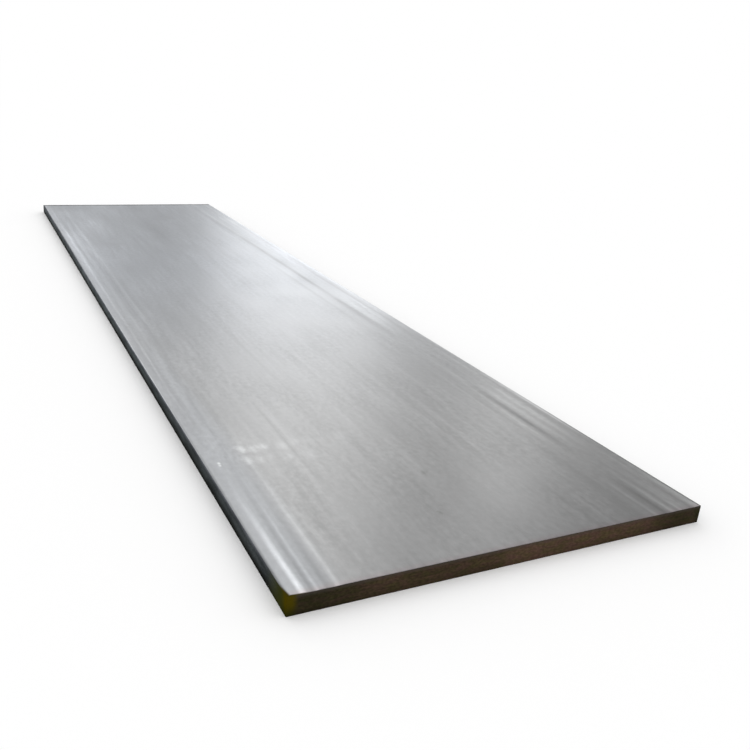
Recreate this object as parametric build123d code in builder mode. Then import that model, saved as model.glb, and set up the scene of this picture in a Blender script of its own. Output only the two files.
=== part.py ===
"""Heavy hot-rolled steel plate, lying flat.

One solid, rolled in one piece: the section across the plate is extruded along the rolling direction.
The long sides are mill edges, left as the rolls made them, and the ends are flame-cut square.
Shallow rolled grooves run along both margins of the top face for the whole length.

Frame: +X along the length, +Y to the left seen from the end at -X, +Z up.
The origin is at the middle of the underside. Units are millimetres.
"""

import os

from build123d import *

# Plate
plate_length = 6000.0
plate_width = 1500.0
plate_thickness = 65.0

# Mill edges of the long sides
mill_edge_bulge = 0.6  # how far mid-thickness stands out past the top and bottom of the side
mill_edge_radius = 2.5

# Flame-cut ends
cut_edge_radius = 1.5  # edge melted round by the cut

# Rolled grooves: each margin is the strip along one long edge that carries them.
# The section is level at each listed place, a valley or a crest, and swings smoothly from one to the next.
# Places are shares of the margin from the long edge, and depths are shares of the groove depth.
groove_depth = 0.8
left_margin = 165.0
left_level_place_shares = (0.18, 0.34, 0.49, 0.63, 0.83, 1.0)
left_level_depth_shares = (1.0, 0.0, 0.4, 0.1, 0.7, 0.0)
right_margin = 250.0
right_level_place_shares = (0.05, 0.14, 0.24, 0.36, 0.55, 0.70, 0.85, 1.0)
right_level_depth_shares = (0.4, 0.7, 0.2, 0.5, 1.0, 0.1, 0.5, 0.0)

half_width = plate_width / 2
foot_half_width = half_width - mill_edge_bulge  # where the sides meet the top and bottom


def margin_levels(side, margin, place_shares, depth_shares):
    """Level points of one margin, from the long edge inwards; side is 1 on the left and -1 on the right."""
    return [
        (side * (half_width - place_share * margin), plate_thickness - depth_share * groove_depth)
        for place_share, depth_share in zip(place_shares, depth_shares)
    ]


def draw_grooves(levels):
    """Adds the outline through the level points, from left to right: two equal arcs between neighbours."""
    for start, end in zip(levels[:-1], levels[1:]):
        middle = ((start[0] + end[0]) / 2, (start[1] + end[1]) / 2)
        first_arc = TangentArc(start, middle, tangent=(-1, 0))
        TangentArc(first_arc @ 1, end, tangent=first_arc % 1)


left_levels = margin_levels(1, left_margin, left_level_place_shares, left_level_depth_shares)
right_levels = margin_levels(-1, right_margin, right_level_place_shares, right_level_depth_shares)
left_edge_height = left_levels[0][1]
right_edge_height = right_levels[0][1]

# Section across the plate: sketch x is the plate's Y and sketch y its Z
with BuildSketch(Plane.YZ) as section:
    with BuildLine():
        Line((-foot_half_width, 0), (foot_half_width, 0))
        left_side = ThreePointArc(
            (foot_half_width, 0), (half_width, left_edge_height / 2), (foot_half_width, left_edge_height)
        )
        Line(left_side @ 1, left_levels[0])
        draw_grooves(left_levels)
        Line(left_levels[-1], right_levels[-1])
        draw_grooves(right_levels[::-1])
        right_side = ThreePointArc(
            (-foot_half_width, right_edge_height), (-half_width, right_edge_height / 2), (-foot_half_width, 0)
        )
        Line(right_levels[0], right_side @ 0)
    make_face()
    corners_across = section.vertices().group_by(Axis.X)
    fillet(corners_across[0] + corners_across[-1], mill_edge_radius)

with BuildPart() as plate:
    extrude(section.sketch, amount=plate_length / 2, both=True)
    cut_ends = plate.faces().filter_by(Axis.X)
    fillet(cut_ends.edges(), cut_edge_radius)

plate.part.label = "plate"

os.makedirs("parts", exist_ok=True)
export_step(plate.part, "parts/plate.step")
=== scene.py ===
"""Heavy hot-rolled steel plate on a plain white studio floor.

The plate is one closed mesh that stands for the CAD solid: the same section, with the relief that
rolling and flame cutting leave on it. Lengths are metres, in the part's frame: +X along the length,
+Y to the left, +Z up.
"""

import math

import bpy
import numpy as np
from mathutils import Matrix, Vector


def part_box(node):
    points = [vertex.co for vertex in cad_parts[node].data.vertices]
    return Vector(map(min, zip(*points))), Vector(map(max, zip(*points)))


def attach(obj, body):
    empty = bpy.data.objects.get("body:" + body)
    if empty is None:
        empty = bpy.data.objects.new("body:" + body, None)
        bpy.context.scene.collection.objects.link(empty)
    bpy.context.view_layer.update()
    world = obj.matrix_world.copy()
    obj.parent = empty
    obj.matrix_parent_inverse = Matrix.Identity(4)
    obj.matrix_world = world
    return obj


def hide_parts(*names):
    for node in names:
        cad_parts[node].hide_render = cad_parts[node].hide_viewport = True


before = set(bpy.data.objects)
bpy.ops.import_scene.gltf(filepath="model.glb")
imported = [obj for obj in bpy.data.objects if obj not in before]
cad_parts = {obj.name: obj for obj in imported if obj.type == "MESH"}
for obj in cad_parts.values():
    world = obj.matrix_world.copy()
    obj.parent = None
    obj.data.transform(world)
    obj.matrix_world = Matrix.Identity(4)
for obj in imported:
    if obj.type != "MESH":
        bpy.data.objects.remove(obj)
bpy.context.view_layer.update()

MM = 0.001

# Plate
low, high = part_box("plate")
LENGTH, WIDTH, THICKNESS = high - low
HALF_LENGTH = LENGTH / 2
HALF_WIDTH = WIDTH / 2

# Section, as in the solid
MILL_EDGE_BULGE = 0.6 * MM
MILL_EDGE_RADIUS = 2.5 * MM
CUT_EDGE_RADIUS = 1.5 * MM
FOOT_HALF_WIDTH = HALF_WIDTH - MILL_EDGE_BULGE
CORNER_Z = THICKNESS - MILL_EDGE_RADIUS

# Rolled margins, as in the solid: the top face is level at these places, as shares of the margin from
# the long edge, and at these depths, as shares of the margin's depth
MARGIN_DEPTH = 0.8 * MM
LEFT_MARGIN = 165 * MM
LEFT_LEVEL_PLACE_SHARES = (0.18, 0.34, 0.49, 0.63, 0.83, 1.0)
LEFT_LEVEL_DEPTH_SHARES = (1.0, 0.0, 0.4, 0.1, 0.7, 0.0)
RIGHT_MARGIN = 250 * MM
RIGHT_LEVEL_PLACE_SHARES = (0.05, 0.14, 0.24, 0.36, 0.55, 0.70, 0.85, 1.0)
RIGHT_LEVEL_DEPTH_SHARES = (0.4, 0.7, 0.2, 0.5, 1.0, 0.1, 0.5, 0.0)

# Mesh spacing
MARGIN_STEP = 3 * MM
MIDDLE_STEP = 9 * MM
LENGTH_STEP = 50 * MM
SIDE_ROWS = 14
CORNER_STEPS = 4  # on each half of a rounded corner
CUT_EDGE_STEPS = 4
CLOSE_ROWS = (1, 3, 7)  # rows next to the cut edges, in radii of their rounding

# Fine relief of the top face
RIPPLE_HEIGHT = 0.05 * MM  # rolling ripples, lengthwise
RIPPLE_WAVELENGTHS = (0.019, 0.027, 0.041, 0.064)
RIPPLE_DRIFT = 5 * MM  # how far the ripples wander sideways
SWELL_HEIGHT = 0.1 * MM  # slow unevenness
SWELL_WAVELENGTHS = (0.6, 1.1, 2.3)
MARGIN_CHANGE_SHARE = 0.12  # how much the depth of the margins varies along the plate
RELIEF_FADE = 8 * MM  # relief dies out over this distance from the rounded edges

# Relief of the flame-cut ends and the mill edges
CUT_WAVE_HEIGHT = 0.35 * MM
CUT_WAVELENGTHS = (0.11, 0.19, 0.43)
CUT_WAVE_LEAN = 0.3
SIDE_WAVE_HEIGHT = 0.4 * MM
SIDE_WAVELENGTHS = (0.35, 0.8, 1.9)

# Streaks in the top face's tone, partly roll marks and partly painted reflections (the bright and
# dark lines over the margins' ridges), in millimetres: distance of the middle from the near end,
# half length, distance from the left edge, half width; and the change of tone
STREAKS_AND_PAINTED_REFLECTIONS = (
    (0, 640, 42, 17, 0.42),
    (0, 130, 43, 17, 0.22),
    (0, 1500, 43, 16, 0.14),
    (0, 950, 74, 14, -0.2),
    (0, 900, 91, 8, 0.2),
    (0, 1500, 123, 20, -0.14),
    (0, 1250, 153, 14, 0.25),
    (1600, 700, 35, 14, -0.04),
    (1750, 900, 85, 55, 0.11),
    (2400, 700, 40, 18, -0.12),
    (2700, 800, 78, 30, 0.06),
    (4300, 1100, 45, 27, 0.23),
    (4500, 2100, 19, 19, 0.16),
    (4400, 1050, 95, 115, 0.2),
    (4300, 700, 66, 12, -0.08),
    (4450, 700, 153, 18, 0.08),
    (60, 280, 1302, 15, 0.36),
    (60, 400, 1340, 23, -0.3),
    (60, 280, 1373, 20, 0.45),
    (60, 280, 1415, 35, 0.4),
    (60, 400, 1453, 15, -0.25),
    (60, 430, 1481, 17, 0.6),
    (0, 1000, 1460, 60, 0.14),
    (860, 420, 1282, 18, -0.12),
    (800, 280, 1312, 11, 0.2),
    (860, 500, 1345, 24, -0.38),
    (860, 500, 1385, 22, 0.2),
    (860, 500, 1432, 28, 0.22),
    (860, 500, 1467, 14, -0.08),
    (860, 500, 1489, 13, 0.36),
    (2900, 1100, 1250, 22, -0.12),
    (2400, 700, 1328, 34, -0.13),
    (3600, 1800, 1332, 27, -0.33),
    (2350, 450, 1380, 34, 0.2),
    (2400, 550, 1440, 70, 0.3),
    (3900, 1000, 1440, 90, 0.2),
    (2700, 1100, 1447, 19, -0.23),
    (3600, 2900, 1490, 22, 0.3),
    (900, 600, 334, 12, -0.12),
    (900, 600, 352, 12, 0.06),
    (300, 350, 515, 12, -0.06),
    (1900, 700, 515, 16, -0.07),
    (950, 350, 640, 22, 0.06),
    (2200, 500, 660, 25, 0.05),
    (1230, 250, 703, 16, -0.1),
)
# Dull and bright patches, partly of the finish and partly painted reflection: the same values
PATCHES_AND_PAINTED_REFLECTIONS = (
    (5900, 350, 130, 220, -0.22),
    (5100, 600, 300, 140, 0.17),
    (4800, 700, 750, 180, -0.13),
    (4900, 600, 1340, 90, -0.1),
    (5850, 300, 330, 130, -0.07),
    (5850, 300, 760, 160, -0.12),
    (3200, 600, 150, 80, -0.06),
    (900, 500, 980, 250, 0.09),
    (900, 350, 290, 180, 0.06),
    (250, 400, 740, 200, -0.05),
)
STREAK_DRIFT = 1 * MM  # how far the streaks wander sideways
STREAK_LEAN = 7.5 * MM  # how far those next to the left edge lean away from it at the near end
STREAK_LEAN_LENGTH = 280 * MM
STREAK_LEAN_REACH = 90 * MM  # no streak leans that is farther than this from the edge
# Painted shade along the rounded long edges: distance from the near end in millimetres, and the change of
# tone
LEFT_EDGE_PAINTED_SHADE = (
    (0, -0.65),
    (500, -0.6),
    (1000, -0.4),
    (1600, 0.0),
    (2600, 0.0),
    (4000, -0.65),
    (5200, -0.9),
)
RIGHT_EDGE_PAINTED_SHADE = ((0, -0.85), (600, -0.75), (1000, 0.0))
EDGE_SHADE_REACH = 12 * MM  # how far that painted shade reaches from the edge
BURNT_TONE = -0.75  # heat of the far cut
BURNT_REACH = 45 * MM  # how far that heat reaches from the far end

# Marks on the top face, in millimetres: distance from the near end and from the left edge, and radius
# across; and the strength. The first two tables are painted light: reflections of two rows of lamps
# across the plate, and two glints on the first ridge of the left margin.
# Painted highlights: the reflections of two rows of lamps, laid across the plate as pale rubs
PAINTED_LAMP_HIGHLIGHTS = (
    (862, 157, 27, 0.62),
    (852, 193, 26, 0.5),
    (860, 218, 24, 0.42),
    (864, 242, 26, 0.5),
    (850, 304, 30, 0.3),
    (866, 366, 32, 0.24),
    (862, 410, 32, 0.16),
    (858, 550, 55, 0.12),
    (925, 156, 30, 0.12),
    (925, 196, 25, 0.08),
    (775, 152, 27, 0.52),
    (766, 194, 24, 0.46),
    (774, 240, 24, 0.14),
    (764, 298, 26, 0.24),
    (766, 380, 46, 0.2),
    (755, 1150, 26, 0.1),
    (745, 1310, 16, 0.15),
)
# Painted glints on the first ridge of the left margin
PAINTED_GLINTS = (
    (780, 50, 9, 1.0),
    (764, 49, 8, 0.8),
)
DARK_SPECKS = (
    (499, 705, 18, 0.42),
    (245, 617, 12, 0.35),
)
MARK_STRETCH = 1.7  # marks are this much longer along the plate than across it
MARK_WARP = 32 * MM  # how far the outlines of marks are pushed about

# Dab of paint on the upright edge at the near left corner
PAINT_ON_END = 39 * MM  # how far it reaches on the cut end
PAINT_ON_SIDE = 170 * MM
SOLID_ON_END = PAINT_ON_END / 3  # how far it is solid
SOLID_ON_SIDE = PAINT_ON_SIDE / 5
OLIVE_ON_SIDE = PAINT_ON_SIDE / 4  # where it has turned from ochre to olive
PAINT_WARP = 10 * MM  # how far its outline is pushed about
# Its two laps onto the top face, in millimetres: reach along and across
PAINT_LAPS = ((70, 15), (9, 80))
LAP_RIM_SHARES = (0.6, 1.2)  # of that reach: solid up to the first, and gone at the second

RUSTY_RIM = 30 * MM  # the top face is tinted with rust over this distance from the near end

# Rust on the cut ends grows and thins in steps, in millimetres: where each starts and ends from the
# left edge; and its change
RUST_STEPS = (
    (70, 300, 0.42),
    (620, 760, 0.5),
    (850, 1150, -0.15),
    (1200, 1380, -0.6),
    (1465, 1495, -0.25),
)

RELIEF_SEED = 65
ROLLED_SLOT, MILL_SLOT, CUT_SLOT = range(3)  # of the materials

rng = np.random.default_rng(RELIEF_SEED)


def smooth_step(value, start, end):
    share = np.clip((value - start) / (end - start), 0, 1)
    return share * share * (3 - 2 * share)


def sum_of_waves(place, wavelengths):
    """Smooth uneven waves along one coordinate, from about -1 to 1."""
    phases = rng.uniform(0, 2 * math.pi, len(wavelengths))
    waves = [np.sin(2 * math.pi * place / size + phase) for size, phase in zip(wavelengths, phases)]
    return sum(waves) / math.sqrt(len(wavelengths))


def level_chain(distance, margin, place_shares, depth_shares):
    """Depth under the top plane: level at each listed place, with two equal arcs between neighbours."""
    places = [share * margin for share in place_shares]
    depths = [share * MARGIN_DEPTH for share in depth_shares]
    depth = np.full(np.shape(distance), depths[0])
    for start, end, change in zip(places[:-1], places[1:], np.diff(depths)):
        share = np.clip((distance - start) / (end - start), 0, 1)
        arcs = np.where(share < 0.5, 2 * share**2, 1 - 2 * (1 - share) ** 2)
        depth = depth + change * arcs
    return depth


def margin_depth(y):
    left_shares = LEFT_LEVEL_PLACE_SHARES, LEFT_LEVEL_DEPTH_SHARES
    right_shares = RIGHT_LEVEL_PLACE_SHARES, RIGHT_LEVEL_DEPTH_SHARES
    left = level_chain(HALF_WIDTH - y, LEFT_MARGIN, *left_shares)
    right = level_chain(HALF_WIDTH + y, RIGHT_MARGIN, *right_shares)
    return left + right


def top_relief(x, y):
    """Height of the fine relief of the rolled face, at every pair of x and y."""
    x, y = x[:, None], y[None, :]
    drift = RIPPLE_DRIFT * sum_of_waves(x, SWELL_WAVELENGTHS)
    height = RIPPLE_HEIGHT * sum_of_waves(y + drift, RIPPLE_WAVELENGTHS)
    swell = SWELL_HEIGHT * sum_of_waves(x, SWELL_WAVELENGTHS) * sum_of_waves(y, SWELL_WAVELENGTHS)
    height = height + swell
    return height * smooth_step(FOOT_HALF_WIDTH - MILL_EDGE_RADIUS - np.abs(y), 0, RELIEF_FADE)


def finish_and_painted_light(x, y):
    """Tone of the top face's finish and painted light at every pair of x and y: 1 is plain, and more is
    brighter.
    """
    x, y = x[:, None], y[None, :]
    along, across = HALF_LENGTH + x, HALF_WIDTH - y
    across = across + STREAK_DRIFT * sum_of_waves(x, SWELL_WAVELENGTHS)
    lean = smooth_step(along, STREAK_LEAN_LENGTH, 0)
    lean = lean * smooth_step(across, STREAK_LEAN_REACH, STREAK_LEAN_REACH / 2)
    across = across - STREAK_LEAN * lean
    tone = np.ones(across.shape)
    # Streaks and patches: partly real marks and partly painted reflections
    for middle, half_length, place, half_width, change in STREAKS_AND_PAINTED_REFLECTIONS + PATCHES_AND_PAINTED_REFLECTIONS:
        lengthwise = smooth_step(np.abs(along - middle * MM), half_length * MM, 0)
        crosswise = smooth_step(np.abs(across - place * MM), half_width * MM, 0)
        tone = tone + change * lengthwise * crosswise
    # Painted shade along the rounded long edges
    left_tone, right_tone = [
        np.interp(along / MM, *zip(*tones)) for tones in (LEFT_EDGE_PAINTED_SHADE, RIGHT_EDGE_PAINTED_SHADE)
    ]
    edge_shade_share = smooth_step(HALF_WIDTH - np.abs(y), EDGE_SHADE_REACH, 0)
    tone = tone + np.where(y > 0, left_tone, right_tone) * edge_shade_share
    return tone + BURNT_TONE * smooth_step(along, LENGTH - BURNT_REACH, LENGTH - BURNT_REACH / 3)


def bulge(z):
    """How far the mill edge stands out at height z."""
    return MILL_EDGE_BULGE * (1 - (2 * z / THICKNESS - 1) ** 2)


def section():
    """The plate's section as four open spans of points with outward normals, from the top left corner on.

    Each span ends in the middle of a rounded corner: top (leftmost first), right side, bottom, left side.
    """
    corner_y = FOOT_HALF_WIDTH + bulge(MILL_EDGE_RADIUS) - MILL_EDGE_RADIUS
    turn = np.linspace(math.pi / 4, math.pi / 2, CORNER_STEPS + 1)[:-1]
    left_margin = np.arange(corner_y, HALF_WIDTH - LEFT_MARGIN, -MARGIN_STEP)
    right_margin = -np.arange(corner_y, HALF_WIDTH - RIGHT_MARGIN, -MARGIN_STEP)[::-1]
    middle_count = round((left_margin[-1] - right_margin[0]) / MIDDLE_STEP)
    middle = np.linspace(left_margin[-1], right_margin[0], middle_count + 1)[1:-1]
    flat_y = np.concatenate([left_margin, middle, right_margin])

    round_y = corner_y + MILL_EDGE_RADIUS * np.cos(turn)
    round_z = CORNER_Z + MILL_EDGE_RADIUS * np.sin(turn)
    top_y = np.concatenate([round_y, flat_y, -round_y[::-1]])
    top_z = np.concatenate([round_z, np.full(len(flat_y), THICKNESS), round_z[::-1]])
    top_ny = np.concatenate([np.cos(turn), np.zeros(len(flat_y)), -np.cos(turn[::-1])])
    top_nz = np.concatenate([np.sin(turn), np.ones(len(flat_y)), np.sin(turn[::-1])])
    top = np.stack([top_y, top_z, top_ny, top_nz], axis=1)

    flat_z = np.linspace(CORNER_Z, MILL_EDGE_RADIUS, SIDE_ROWS + 1)
    side_turn = math.pi / 2 - turn
    side_round_y = corner_y + MILL_EDGE_RADIUS * np.cos(side_turn)
    side_round_z = MILL_EDGE_RADIUS * np.sin(side_turn)
    side_y = np.concatenate([side_round_y, FOOT_HALF_WIDTH + bulge(flat_z), side_round_y[::-1]])
    side_z = np.concatenate([CORNER_Z + side_round_z, flat_z, MILL_EDGE_RADIUS - side_round_z[::-1]])
    side_ny = np.concatenate([np.cos(side_turn), np.ones(len(flat_z)), np.cos(side_turn[::-1])])
    side_nz = np.concatenate([np.sin(side_turn), np.zeros(len(flat_z)), -np.sin(side_turn[::-1])])
    left = np.stack([side_y, side_z, side_ny, side_nz], axis=1)[::-1]
    mirror_y = np.array([-1, 1, -1, 1])
    right = left[::-1] * mirror_y
    bottom = top[::-1].copy()
    bottom[:, 1] = THICKNESS - bottom[:, 1]
    bottom[:, 3] = -bottom[:, 3]
    return top, right, bottom, left


def stations():
    """Rows along the plate: place, and how far the section is drawn in by the melted edge of the cut."""
    turn = np.linspace(math.pi / 2, 0, CUT_EDGE_STEPS + 1)
    edge_x = -HALF_LENGTH + CUT_EDGE_RADIUS * (1 - np.sin(turn))
    edge_inset = CUT_EDGE_RADIUS * (1 - np.cos(turn))
    count = round(LENGTH / LENGTH_STEP)
    inner = np.linspace(edge_x[-1], -edge_x[-1], count + 1)
    close = CUT_EDGE_RADIUS * np.array(CLOSE_ROWS)
    between = np.concatenate([inner[0] + close, inner[1:-1], inner[-1] - close[::-1]])
    place = np.concatenate([edge_x, between, -edge_x[::-1]])
    inset = np.concatenate([edge_inset, np.zeros(len(between)), edge_inset[::-1]])
    return place, inset


def ring_faces(rows, ring):
    """Quads between neighbouring rings, each ring closed on itself."""
    row, place = np.meshgrid(np.arange(rows - 1), np.arange(ring), indexing="ij")
    after = (place + 1) % ring
    quads = [row * ring + place, row * ring + after, (row + 1) * ring + after, (row + 1) * ring + place]
    return np.stack(quads, axis=-1).reshape(-1, 4)


def cap(outline, spans, inner_first, first):
    """Closes one cut end: inner points as a blend of the four spans, and quads over the whole end.

    outline holds the ring's y and z, inner_first is the number of the first new point, and first is
    the number of the ring's first point.
    """
    across, up = len(spans[0]) - 1, len(spans[1]) - 1
    ring = len(outline)
    number = np.empty((up + 1, across + 1), int)
    number[0] = first + np.arange(across + 1)
    number[:, -1] = first + across + np.arange(up + 1)
    number[-1, ::-1] = first + across + up + np.arange(across + 1)
    number[::-1, 0] = first + (2 * across + up + np.arange(up + 1)) % ring
    inner = inner_first + np.arange((up - 1) * (across - 1)).reshape(up - 1, across - 1)
    number[1:-1, 1:-1] = inner

    place = np.zeros((up + 1, across + 1, 2))
    rim = [(0, slice(None)), (-1, slice(None)), (slice(None), 0), (slice(None), -1)]
    for where in rim:
        place[where] = outline[number[where] - first]
    v = np.linspace(0, 1, up + 1)[:, None, None]
    u = np.linspace(0, 1, across + 1)[None, :, None]
    blend = (1 - v) * place[:1] + v * place[-1:] + (1 - u) * place[:, :1] + u * place[:, -1:]
    blend -= (1 - u) * (1 - v) * place[0, 0] + u * (1 - v) * place[0, -1]
    blend -= (1 - u) * v * place[-1, 0] + u * v * place[-1, -1]
    quads = np.stack([number[:-1, :-1], number[:-1, 1:], number[1:, 1:], number[1:, :-1]], axis=-1)
    return blend[1:-1, 1:-1].reshape(-1, 2), quads.reshape(-1, 4)


def cut_relief(y, z):
    """How far the flame-cut face stands back or out."""
    wave = sum_of_waves(y, CUT_WAVELENGTHS) + sum_of_waves(z + CUT_WAVE_LEAN * y, CUT_WAVELENGTHS) / 2
    edge = np.minimum(THICKNESS / 2 - np.abs(z - THICKNESS / 2), FOOT_HALF_WIDTH - np.abs(y))
    return CUT_WAVE_HEIGHT * wave * smooth_step(edge, CUT_EDGE_RADIUS, CUT_EDGE_RADIUS + RELIEF_FADE)


def build_plate():
    """The plate's mesh, with its faces given to the three materials and the tone of finish and painted
    light on its points.
    """
    spans = section()
    ring = np.concatenate([span[:-1] for span in spans])
    across, up = len(spans[0]) - 1, len(spans[1]) - 1
    place, inset = stations()
    rows, count = len(place), len(ring)

    points = np.empty((rows, count, 3))
    points[:, :, 0] = place[:, None]
    points[:, :, 1:] = ring[None, :, :2] - inset[:, None, None] * ring[None, :, 2:]
    sag = margin_depth(ring[:, 0]) * smooth_step(ring[:, 1], THICKNESS / 2, CORNER_Z)
    points[:, :, 2] -= sag * (1 + MARGIN_CHANGE_SHARE * sum_of_waves(place, SWELL_WAVELENGTHS))[:, None]
    points[:, :across, 2] += top_relief(place, ring[:across, 0])
    side_wave = SIDE_WAVE_HEIGHT * sum_of_waves(place, SIDE_WAVELENGTHS)
    side_fade = smooth_step(HALF_LENGTH - np.abs(place), 0, LENGTH_STEP)
    side_share = ring[:, 2] * np.sin(math.pi * ring[:, 1] / THICKNESS) ** 2
    points[:, :, 1] += (side_wave * side_fade)[:, None] * side_share
    points = points.reshape(-1, 3)

    faces = [ring_faces(rows, count)]
    column = np.tile(np.arange(count), rows - 1)
    on_side = ((column >= across) & (column < across + up)) | (column >= 2 * across + up)
    slots = [np.where(on_side, MILL_SLOT, ROLLED_SLOT)]
    near_row = np.repeat(np.arange(rows - 1), count)
    melted = (near_row < CUT_EDGE_STEPS // 2) | (near_row >= rows - 1 - CUT_EDGE_STEPS // 2)
    slots[0][melted] = CUT_SLOT

    for end, sign in ((0, -1), (rows - 1, 1)):
        first = end * count
        outline = points[first:first + count, 1:]
        inner, quads = cap(outline, spans, len(points), first)
        stand = sign * (HALF_LENGTH + cut_relief(inner[:, 0], inner[:, 1]))
        points = np.concatenate([points, np.column_stack([stand, inner])])
        faces.append(quads if sign < 0 else quads[:, ::-1])
        slots.append(np.full(len(quads), CUT_SLOT))

    tone = np.ones(len(points))
    on_top = tone[:rows * count].reshape(rows, count)
    on_top[:, :across] = finish_and_painted_light(place, ring[:across, 0])

    mesh = bpy.data.meshes.new("plate_skin")
    mesh.from_pydata(points.tolist(), [], np.concatenate(faces).tolist())
    mesh.polygons.foreach_set("material_index", np.concatenate(slots).astype(np.int32))
    tones = mesh.attributes.new("finish_and_painted_light", "FLOAT", "POINT")
    tones.data.foreach_set("value", tone.astype(np.float32))
    mesh.shade_smooth()
    mesh.validate()
    plate = bpy.data.objects.new("plate_skin", mesh)
    bpy.context.scene.collection.objects.link(plate)
    return plate


plate = build_plate()


# Sizes of the features in the finish, along each axis
BAND_SIZE = (3.0, 0.11, 1.0)
LINE_SIZE = (1.2, 0.04, 1.0)
HAIRLINE_SIZE = (0.6, 0.008, 1.0)
DASH_SIZE = (0.35, 0.03, 1.0)
MOTTLE_SIZE = (0.03, 0.02, 1.0)
GRAIN_SIZE = (0.03, 0.0015, 1.0)
CLOUD_SIZE = (0.5, 0.3, 1.0)
BRIGHT_SPECK_SIZE = (0.014, 0.009, 1.0)
SCALE_LINE_SIZE = (0.6, 1.0, 0.008)
SCALE_PATCH_SIZE = (0.12, 1.0, 0.03)
PIT_SIZE = (0.004, 0.004, 0.004)
DRAG_LINE_SIZE = (1.0, 0.0022, 0.2)
STRATUM_SIZE = (1.0, 0.2, 0.008)
RUST_PATCH_SIZE = (1.0, 0.1, 0.05)
STAIN_SIZE = (1.0, 0.045, 0.015)
RUST_SPECK_SIZE = (1.0, 0.012, 0.006)
MARK_WARP_SIZE = (0.04, 0.04, 0.04)
FINE_MARK_WARP_SIZE = (0.012, 0.012, 0.012)
PAINT_WARP_SIZE = (0.02, 0.02, 0.02)
NOISE_RANGE = (0.3, 0.7)  # noise seldom leaves this range
NOISE_MIDDLE = (0.5, 0.5, 0.5)
UPPER_SHARES = (0.4, 0.6)  # of the height, between the underside and the top face

# Rolled faces
STEEL = (0.507, 0.509, 0.510, 1)
PAINTED_COOL_REFLECTION = (0.489, 0.511, 0.545, 1)  # painted cool reflection: bluer towards the far end, and by half in the left margin
RUSTY_STEEL = (0.507, 0.475, 0.483, 1)  # at the rim of the near end
# Colour of the painted highlights and glints
PAINTED_HIGHLIGHT_WHITE = (0.85, 0.86, 0.87, 1)
DARK_SPECK = (0.2, 0.2, 0.19, 1)
BLUE_SHARES = (-0.85, 0.3)  # of the half length: blue starts at the first and is full from the second on
LEFT_BLUE_SHARES = (1.2, 0.5)  # of the left margin, from the edge, in the same way
LEFT_BLUE = 0.5
STREAK_SHARES = (0.2, 0.12, 0.05, 0.28, 0.35)  # of bands, lines, hairlines, dashes and mottle
NEAR_CONTRAST = 0.13  # of the streaks at the near end
MIDDLE_CONTRAST = 0.11  # and from the middle on
CLOUD_RANGE = (0.35, 0.65)
CLOUD_CONTRASTS = (0.6, 1.4)  # clouds weaken and strengthen the streaks by these factors
BRIGHT_SPECK_RANGE = (0.66, 0.76)
BRIGHT_SPECK_TONE = 0.04
HIGHLIGHT_BREAK_RANGE = (0.3, 0.6)
HIGHLIGHT_BREAKS = (0.6, 1.1)  # dashes weaken and strengthen the painted highlights by these factors
UNEVENNESS = 0.3  # how much the changes of tone wax and wane along the plate
UNEVEN_LIMIT = -0.3  # a darker change than this is as uneven as this one
DARKEST_TONE = 0.05
BARE_TONES = (0.3, 0.7)  # the face is dull, not metal, up to the first tone, as at the burnt far rim and in the painted edge shade, and bare steel from the second on
ROLLED_ROUGHNESS = (0.3, 0.36)
CLOUD_ROUGHNESS_SHARE = 0.6  # the rest of its change comes from the streaks
GRAIN_HEIGHT_SHARE = 0.3  # of the hairlines' height
ROLLED_BUMP = 0.03 * MM

# Mill edges
# The low colour is scale in painted shade at the foot
FOOT_SCALE_IN_PAINTED_SHADE = (0.013, 0.0145, 0.013, 1)
HIGH_SCALE = (0.04, 0.045, 0.047, 1)
# Partly worn scale and partly a painted highlight of the rounded top edge
WEAR_AND_EDGE_HIGHLIGHT = (0.095, 0.1, 0.112)
SCALE_SHARES = (0.1, 0.6)  # of the height, from the low colour, which is painted shade, to the high one
WEAR_AND_HIGHLIGHT_SHARES = (0.75, 1.0)  # of the height, from none of the wear and painted highlight to all of it
WEAR_AND_HIGHLIGHT_START_SHARES = (0.25, 1.6)  # of the paint's reach on the side, from none of the wear and painted highlight to all of it
# Changes of brightness along the plate: shares of the half length where each starts and ends, and
# its factor
SCALE_CHANGES = ((-0.8, 0.2, 1.8), (0.2, 0.8, 0.9))
WEAR_AND_HIGHLIGHT_CHANGES = ((-0.7, -0.35, 1.9), (-0.2, 0.7, 0.7))
SCALE_PATCH_TONES = (0.75, 1.25)
PIT_TONES = (0.8, 1.2)
MILL_ROUGHNESS = (0.6, 0.75)
MILL_BUMP = 0.15 * MM

# Cut ends
CUT_STEEL = (0.021, 0.0175, 0.0085, 1)
RUST = (0.072, 0.046, 0.029, 1)
RUST_START = -0.6
STRATUM_WEIGHT = 0.7
RUST_PATCH_WEIGHT = 0.5
STAIN_RANGE = (0.35, 0.65)
RED_STAIN = (1.1, 0.98, 1.15, 1)  # stains multiply the colour
OLIVE_STAIN = (0.92, 1.03, 0.83, 1)
RUST_SPECK_TONES = (0.78, 1.22)
GREY_RIM = (0.057, 0.05, 0.047, 1)
GREY_RIM_START = 0.75  # share of the height where grey starts
GREY_RIM_SHARE = 0.5  # of grey at the top edge
FOOT_PAINTED_SHADE = 0.8  # painted shade: the foot is darker by this factor
FOOT_END = 0.5  # share of the height where that ends
CUT_ROUGHNESS = (0.7, 0.85)
CUT_SPECULAR = 0.02
CUT_BUMP = 0.2 * MM

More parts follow.
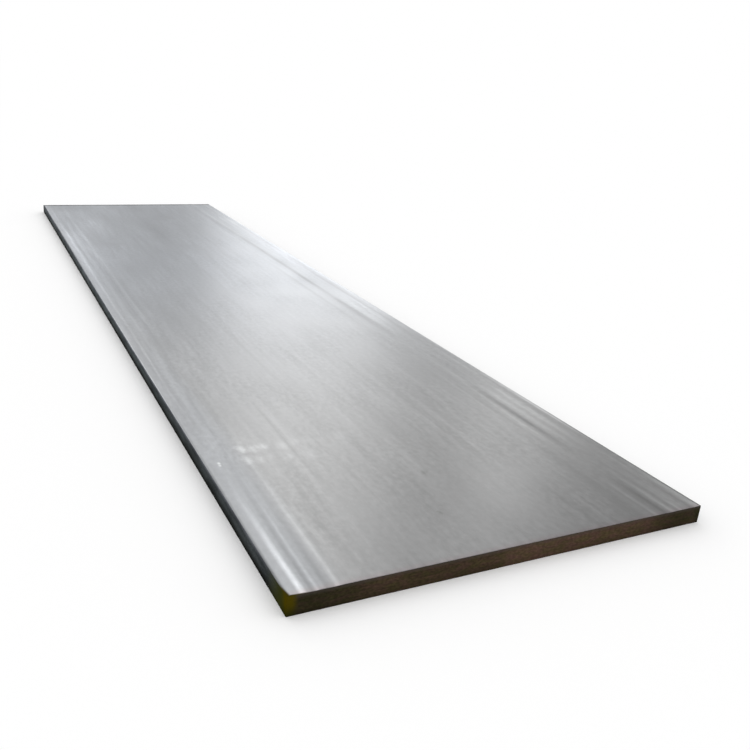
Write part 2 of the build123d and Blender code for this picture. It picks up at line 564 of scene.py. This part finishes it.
# Paint
# The low ochre is the paint in painted shade at the foot
OCHRE_IN_PAINTED_SHADE = (0.018, 0.018, 0.002, 1)
HIGH_OCHRE = (0.054, 0.04, 0.001, 1)
LAP_OCHRE = (0.045, 0.036, 0.004, 1)
OLIVE = (0.03, 0.032, 0.008, 1)
HIGH_OCHRE_SHARE = 0.7  # of the height, where the high colour is reached; the low colour below is painted shade


def plug(tree, socket, value):
    """Links a value to a socket, or sets it there if it is plain."""
    if isinstance(value, bpy.types.NodeSocket):
        tree.links.new(value, socket)
    else:
        socket.default_value = value


def add(tree, kind, inputs=None, **settings):
    """Adds a node, sets its settings, and links or sets each of its inputs."""
    node = tree.nodes.new(kind)
    for name, value in settings.items():
        setattr(node, name, value)
    for name, value in (inputs or {}).items():
        plug(tree, node.inputs[name], value)
    return node


def empty_material(name):
    """A material without nodes, and its node tree."""
    material = bpy.data.materials.new(name)
    material.use_nodes = True
    material.node_tree.nodes.clear()
    return material, material.node_tree


def face_material(name):
    """A material without nodes, its node tree, and the place on the plate as a socket."""
    material, tree = empty_material(name)
    return material, tree, add(tree, "ShaderNodeTexCoord").outputs["Object"]


def finish_material(tree, color, roughness, normal, specular=0.0, metallic=0.0):
    """Adds the shader. Specular is one number, and the other values may vary over the face."""
    inputs = {"Base Color": color, "Roughness": roughness, "Normal": normal, "Metallic": metallic}
    shader = add(tree, "ShaderNodeBsdfPrincipled", {**inputs, "Specular IOR Level": specular})
    add(tree, "ShaderNodeOutputMaterial", {"Surface": shader.outputs["BSDF"]})


def coordinates(tree, place):
    """The three coordinates of a place."""
    return list(add(tree, "ShaderNodeSeparateXYZ", {"Vector": place}).outputs)


def vector_math(tree, operation, first, second):
    return add(tree, "ShaderNodeVectorMath", {0: first, 1: second}, operation=operation).outputs["Vector"]


def scaled(tree, vector, factor):
    """A vector or colour times a factor."""
    inputs = {0: vector, "Scale": factor}
    return add(tree, "ShaderNodeVectorMath", inputs, operation="SCALE").outputs["Vector"]


def math_node(tree, operation, first, second=0.0):
    return add(tree, "ShaderNodeMath", {0: first, 1: second}, operation=operation).outputs["Value"]


def weighted_sum(tree, *parts):
    """Adds up values, each times its weight."""
    total = 0.0
    for value, weight in parts:
        inputs = {0: value, 1: weight, 2: total}
        total = add(tree, "ShaderNodeMath", inputs, operation="MULTIPLY_ADD").outputs["Value"]
    return total


def noise_node(tree, place, size, detail=2.0):
    inputs = {"Vector": vector_math(tree, "DIVIDE", place, size), "Scale": 1.0, "Detail": detail}
    return add(tree, "ShaderNodeTexNoise", inputs)


def noise(tree, place, size, detail=2.0):
    """Smooth noise from 0 to 1 with features of the given size along each axis."""
    return noise_node(tree, place, size, detail).outputs["Fac"]


def warped(tree, place, size, reach):
    """The place, pushed about by noise with features of the given size."""
    color = noise_node(tree, place, size).outputs["Color"]
    push = vector_math(tree, "SUBTRACT", color, NOISE_MIDDLE)
    return vector_math(tree, "ADD", place, scaled(tree, push, reach))


def ramp(tree, value, start, end, to_start=0.0, to_end=1.0):
    """Takes value from start..end to to_start..to_end, smoothly and clamped."""
    inputs = {"Value": value, "From Min": start, "From Max": end, "To Min": to_start, "To Max": to_end}
    return add(tree, "ShaderNodeMapRange", inputs, interpolation_type="SMOOTHSTEP").outputs["Result"]


def spread(tree, value, low, high):
    """Noise, taken from the range that it mostly covers to low..high."""
    return ramp(tree, value, *NOISE_RANGE, low, high)


def mix(tree, share, first, second):
    """Mixes two colours."""
    node = add(tree, "ShaderNodeMix", data_type="RGBA")
    sockets = {socket.identifier: socket for socket in node.inputs}
    plug(tree, sockets["Factor_Float"], share)
    plug(tree, sockets["A_Color"], first)
    plug(tree, sockets["B_Color"], second)
    return next(socket for socket in node.outputs if socket.identifier == "Result_Color")


def bump(tree, height, distance):
    return add(tree, "ShaderNodeBump", {"Height": height, "Distance": distance}).outputs["Normal"]


def distance_to(tree, place, point):
    return add(tree, "ShaderNodeVectorMath", {0: place, 1: point}, operation="DISTANCE").outputs["Value"]


def upper_share(tree, place):
    """1 on the top face and 0 on the underside."""
    height = coordinates(tree, place)[2]
    return ramp(tree, height, *[share * THICKNESS for share in UPPER_SHARES])


def marks(tree, place, table):
    """Soft marks on the top face: each mark's strength at its middle, and 0 away from all of them."""
    upper = upper_share(tree, place)
    squeeze = (1 / MARK_STRETCH, 1.0, 0.0)
    place = vector_math(tree, "MULTIPLY", place, squeeze)
    total = 0.0
    for along, across, radius, strength in table:
        middle = ((along * MM - HALF_LENGTH) * squeeze[0], HALF_WIDTH - across * MM, 0.0)
        mark = ramp(tree, distance_to(tree, place, middle), 0, radius * MM, strength, 0)
        total = math_node(tree, "MAXIMUM", mark, total)
    return math_node(tree, "MULTIPLY", total, upper)


def paint(tree, place, under):
    """The colour under the paint, and the paint over it near the left upright edge, darker towards the
    foot as painted shade.
    """
    x, y, z = coordinates(tree, warped(tree, place, PAINT_WARP_SIZE, PAINT_WARP))
    on_end = ramp(tree, y, HALF_WIDTH - PAINT_ON_END, HALF_WIDTH - SOLID_ON_END)
    on_side = ramp(tree, x, PAINT_ON_SIDE - HALF_LENGTH, SOLID_ON_SIDE - HALF_LENGTH)
    cover = math_node(tree, "MULTIPLY", on_end, on_side)
    # Darker at the foot: painted shade
    ochre = mix(tree, ramp(tree, z, 0, HIGH_OCHRE_SHARE * THICKNESS), OCHRE_IN_PAINTED_SHADE, HIGH_OCHRE)
    olive_share = ramp(tree, x, -HALF_LENGTH, OLIVE_ON_SIDE - HALF_LENGTH)
    return mix(tree, cover, under, mix(tree, olive_share, ochre, OLIVE))


def paint_laps(tree, place):
    """Share of paint on the top face: two slim triangles in the near left corner."""
    x, y, _ = coordinates(tree, place)
    full, gone = LAP_RIM_SHARES
    nearest = 2 * gone
    for reach in PAINT_LAPS:
        along, across = [length * MM for length in reach]
        start = HALF_LENGTH / along + HALF_WIDTH / across
        depth = weighted_sum(tree, (x, 1 / along), (y, -1 / across), (1.0, start))
        nearest = math_node(tree, "MINIMUM", depth, nearest)
    return math_node(tree, "MULTIPLY", ramp(tree, nearest, gone, full), upper_share(tree, place))


def rolled_tint(tree, place):
    """Colour of the steel without streaks: bluer far away and to the left as a painted cool reflection,
    and rusty at the near rim.
    """
    x, y, _ = coordinates(tree, place)
    far_share = ramp(tree, x, *[share * HALF_LENGTH for share in BLUE_SHARES])
    left_rims = [HALF_WIDTH - share * LEFT_MARGIN for share in LEFT_BLUE_SHARES]
    left_share = ramp(tree, y, *left_rims, 0, LEFT_BLUE)
    # Bluer tint: a painted cool reflection
    tint = mix(tree, math_node(tree, "MAXIMUM", far_share, left_share), STEEL, PAINTED_COOL_REFLECTION)
    return mix(tree, ramp(tree, x, RUSTY_RIM - HALF_LENGTH, -HALF_LENGTH), tint, RUSTY_STEEL)


def rolled_face():
    """Satin rolled steel with lengthwise streaks and dark specks, laps of paint, and painted light:
    reflections in the streaks and the blue tint, lamp highlights and glints, and shade on the rounded
    edges.
    """
    material, tree, place = face_material("rolled_face")
    bands = noise(tree, place, BAND_SIZE)
    lines = noise(tree, place, LINE_SIZE)
    hairlines = noise(tree, place, HAIRLINE_SIZE)
    dashes = noise(tree, place, DASH_SIZE, detail=3.0)
    mottle = noise(tree, place, MOTTLE_SIZE, detail=4.0)
    grain = noise(tree, place, GRAIN_SIZE)
    clouds = noise(tree, place, CLOUD_SIZE, detail=4.0)
    specks = noise(tree, place, BRIGHT_SPECK_SIZE, detail=0.0)

    streaks = weighted_sum(tree, *zip((bands, lines, hairlines, dashes, mottle), STREAK_SHARES))
    x = coordinates(tree, place)[0]
    contrast = ramp(tree, x, -HALF_LENGTH, 0, NEAR_CONTRAST, MIDDLE_CONTRAST)
    contrast = math_node(tree, "MULTIPLY", ramp(tree, clouds, *CLOUD_RANGE, *CLOUD_CONTRASTS), contrast)
    streak_part = (spread(tree, streaks, -1.0, 1.0), contrast)
    speck_part = (ramp(tree, specks, *BRIGHT_SPECK_RANGE), BRIGHT_SPECK_TONE)
    streak_tone = weighted_sum(tree, (1.0, 1.0), streak_part, speck_part)

    # Tone of the finish, with painted reflections and painted edge shade in it
    tone = add(tree, "ShaderNodeAttribute", attribute_name="finish_and_painted_light").outputs["Fac"]
    change = math_node(tree, "MAXIMUM", math_node(tree, "SUBTRACT", tone, 1.0), UNEVEN_LIMIT)
    uneven = spread(tree, dashes, -UNEVENNESS, UNEVENNESS)
    shade = weighted_sum(tree, (tone, 1.0), (change, uneven))
    shade = math_node(tree, "MAXIMUM", shade, DARKEST_TONE)
    color = scaled(tree, rolled_tint(tree, place), math_node(tree, "MULTIPLY", streak_tone, shade))

    # Painted highlights and glints, pale and not metal
    around = warped(tree, place, MARK_WARP_SIZE, MARK_WARP)
    around = warped(tree, around, FINE_MARK_WARP_SIZE, MARK_WARP / 2)
    highlight_breaks = ramp(tree, dashes, *HIGHLIGHT_BREAK_RANGE, *HIGHLIGHT_BREAKS)
    broken_highlights = math_node(tree, "MULTIPLY", marks(tree, around, PAINTED_LAMP_HIGHLIGHTS), highlight_breaks)
    painted_highlight = math_node(tree, "MAXIMUM", broken_highlights, marks(tree, place, PAINTED_GLINTS))
    laps = paint_laps(tree, place)
    color = mix(tree, painted_highlight, color, PAINTED_HIGHLIGHT_WHITE)
    color = mix(tree, marks(tree, around, DARK_SPECKS), color, DARK_SPECK)
    color = mix(tree, laps, color, LAP_OCHRE)

    bare = ramp(tree, tone, *BARE_TONES)
    bare = math_node(tree, "SUBTRACT", bare, math_node(tree, "MAXIMUM", painted_highlight, laps))
    bare = math_node(tree, "MAXIMUM", bare, 0.0)
    rough_parts = (clouds, CLOUD_ROUGHNESS_SHARE), (streaks, 1 - CLOUD_ROUGHNESS_SHARE)
    roughness = spread(tree, weighted_sum(tree, *rough_parts), *ROLLED_ROUGHNESS)
    height = weighted_sum(tree, (hairlines, 1.0), (grain, GRAIN_HEIGHT_SHARE))
    normal = bump(tree, height, ROLLED_BUMP)
    finish_material(tree, color, roughness, normal, metallic=bare)
    return material


def changed_along(tree, along, color, changes):
    """The colour, made brighter or darker along the plate."""
    for start, end, factor in changes:
        step = ramp(tree, along, start * HALF_LENGTH, end * HALF_LENGTH, 1.0, factor)
        color = scaled(tree, color, step)
    return color


def mill_edge():
    """Blue-black mill scale, darker at the foot as painted shade and worn grey at the top edge with a
    painted highlight, with a dab of paint.
    """
    material, tree, place = face_material("mill_edge")
    along, _, height = coordinates(tree, place)
    lengthwise = noise(tree, place, SCALE_LINE_SIZE, detail=4.0)
    patches = noise(tree, place, SCALE_PATCH_SIZE, detail=5.0)
    pits = noise(tree, place, PIT_SIZE, detail=3.0)

    # Darker at the foot: painted shade
    high_share = ramp(tree, height, *[share * THICKNESS for share in SCALE_SHARES])
    scale = mix(tree, high_share, FOOT_SCALE_IN_PAINTED_SHADE, HIGH_SCALE)
    scale = changed_along(tree, along, scale, SCALE_CHANGES)
    # Lighter at the top edge: worn scale and a painted highlight
    worn_and_highlit = changed_along(tree, along, WEAR_AND_EDGE_HIGHLIGHT, WEAR_AND_HIGHLIGHT_CHANGES)
    wear_and_highlight_share = ramp(tree, height, *[share * THICKNESS for share in WEAR_AND_HIGHLIGHT_SHARES])
    wear_and_highlight_starts = [share * PAINT_ON_SIDE - HALF_LENGTH for share in WEAR_AND_HIGHLIGHT_START_SHARES]
    clear_of_paint = ramp(tree, along, *wear_and_highlight_starts)
    wear_and_highlight_share = math_node(tree, "MULTIPLY", wear_and_highlight_share, clear_of_paint)
    color = mix(tree, wear_and_highlight_share, scale, worn_and_highlit)
    color = scaled(tree, color, spread(tree, patches, *SCALE_PATCH_TONES))
    color = scaled(tree, color, spread(tree, pits, *PIT_TONES))
    color = paint(tree, place, color)

    roughness = spread(tree, lengthwise, *MILL_ROUGHNESS)
    normal = bump(tree, weighted_sum(tree, (pits, 1.0), (lengthwise, 1.0)), MILL_BUMP)
    finish_material(tree, color, roughness, normal)
    return material


def cut_end():
    """Brown-black flame-cut steel with drag lines and rust, grey at the top edge and darker at the foot
    as painted shade, with a dab of paint.
    """
    material, tree, place = face_material("cut_end")
    _, across, height = coordinates(tree, place)
    drag = noise(tree, place, DRAG_LINE_SIZE)
    strata = noise(tree, place, STRATUM_SIZE, detail=5.0)
    patches = noise(tree, place, RUST_PATCH_SIZE, detail=4.0)
    stains = noise(tree, place, STAIN_SIZE, detail=4.0)
    specks = noise(tree, place, RUST_SPECK_SIZE)

    rust_parts = (strata, STRATUM_WEIGHT), (patches, RUST_PATCH_WEIGHT), (1.0, RUST_START)
    rust = weighted_sum(tree, *rust_parts)
    for start, end, change in RUST_STEPS:
        step = ramp(tree, across, HALF_WIDTH - start * MM, HALF_WIDTH - end * MM, 0, change)
        rust = math_node(tree, "ADD", rust, step)
    color = mix(tree, rust, CUT_STEEL, RUST)
    stain = mix(tree, ramp(tree, stains, *STAIN_RANGE), RED_STAIN, OLIVE_STAIN)
    color = vector_math(tree, "MULTIPLY", color, stain)
    color = scaled(tree, color, spread(tree, specks, *RUST_SPECK_TONES))
    rim_share = ramp(tree, height, GREY_RIM_START * THICKNESS, THICKNESS, 0, GREY_RIM_SHARE)
    color = mix(tree, rim_share, color, GREY_RIM)
    # Painted shade at the foot
    color = scaled(tree, color, ramp(tree, height, 0, FOOT_END * THICKNESS, FOOT_PAINTED_SHADE, 1.0))
    color = paint(tree, place, color)

    roughness = spread(tree, drag, *CUT_ROUGHNESS)
    finish_material(tree, color, roughness, bump(tree, drag, CUT_BUMP), specular=CUT_SPECULAR)
    return material


# In the order of the slots
for make in (rolled_face, mill_edge, cut_end):
    plate.data.materials.append(make())

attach(plate, "root")
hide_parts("plate")


# Stage: white floor under a white sky, and cards that only reflections show
WHITE = (1, 1, 1, 1)
FLOOR_SIZE = 400.0
FLOOR_DROP = 0.2 * MM
CARD_DISTANCE = 1000.0
CARD_GAP = 10.0  # each card stands this much nearer than the one before
CARD_FACE_DEGREES = 5.0  # size of a card's faces

# Name, azimuths from +X towards +Y and elevations in degrees, and strength. Later cards cover
# earlier ones.
CARDS = (
    ("low_flag", (-17.5, 5), (0, 12.5), 0.09),
    ("dark_flag", (-150, -30), (17.5, 69), 0.24),
    ("pale_strip", (-40.5, -37.5), (22, 29.5), 3.8),
    ("dark_strip", (-17.5, -8), (4, 35.5), 0.48),
    ("softbox", (-28, -16.5), (11, 14.5), 4.3),
    ("window", (-7.5, 14), (24, 50.5), 2.25),
)


def plain_material(name, shader_kind, inputs):
    """A material of one shader with plain inputs."""
    material, tree = empty_material(name)
    shader = add(tree, shader_kind, inputs)
    add(tree, "ShaderNodeOutputMaterial", {"Surface": shader.outputs[0]})
    return material


def direction(azimuth, elevation):
    """Unit vector at an azimuth and an elevation in degrees."""
    turn, rise = math.radians(azimuth), math.radians(elevation)
    return np.array([math.cos(rise) * math.cos(turn), math.cos(rise) * math.sin(turn), math.sin(rise)])


def even_angles(start, end):
    return np.linspace(start, end, 1 + math.ceil((end - start) / CARD_FACE_DEGREES))


def add_card(name, azimuths, elevations, strength, distance):
    """A curved card far away, seen only in reflections."""
    turns, rises = even_angles(*azimuths), even_angles(*elevations)
    points = [(distance * direction(turn, rise)).tolist() for rise in rises for turn in turns]
    wide = len(turns)
    corners = [row * wide + column for row in range(len(rises) - 1) for column in range(wide - 1)]
    quads = [(corner, corner + 1, corner + wide + 1, corner + wide) for corner in corners]
    mesh = bpy.data.meshes.new(name)
    mesh.from_pydata(points, [], quads)
    mesh.materials.append(plain_material(name, "ShaderNodeEmission", {"Strength": strength}))
    card = bpy.data.objects.new(name, mesh)
    bpy.context.scene.collection.objects.link(card)
    card.visible_camera = False
    card.visible_diffuse = False
    card.visible_shadow = False


def add_floor():
    bpy.ops.mesh.primitive_plane_add(size=FLOOR_SIZE, location=(0, 0, low.z - FLOOR_DROP))
    floor = bpy.context.object
    floor.name = "floor"
    floor.data.materials.append(plain_material("floor", "ShaderNodeBsdfDiffuse", {"Color": WHITE}))


def add_sky():
    world = bpy.data.worlds.new("white_sky")
    world.use_nodes = True
    background = world.node_tree.nodes["Background"]
    background.inputs["Color"].default_value = WHITE
    background.inputs["Strength"].default_value = 1.0
    bpy.context.scene.world = world


add_floor()
add_sky()
for number, settings in enumerate(CARDS):
    add_card(*settings, CARD_DISTANCE - number * CARD_GAP)

# Camera, fitted to the plate's corners in the photo
CAMERA_PLACE = (-4.635, 1.431, 1.3632)
CAMERA_TURN_DEGREES = (69.259, -3.758, -114.829)
CAMERA_LENS = 38.796  # in millimetres, as the sensor's width is
CAMERA_SENSOR_WIDTH = 36.0
CAMERA_SHIFT = 0.04

camera = bpy.data.objects.new("camera", bpy.data.cameras.new("camera"))
bpy.context.scene.collection.objects.link(camera)
camera.location = CAMERA_PLACE
camera.rotation_euler = [math.radians(angle) for angle in CAMERA_TURN_DEGREES]
camera.data.sensor_width = CAMERA_SENSOR_WIDTH
camera.data.lens = CAMERA_LENS
camera.data.shift_x = CAMERA_SHIFT
camera.data.clip_end = FLOOR_SIZE
bpy.context.scene.camera = camera
bpy.context.scene.view_settings.view_transform = "Standard"
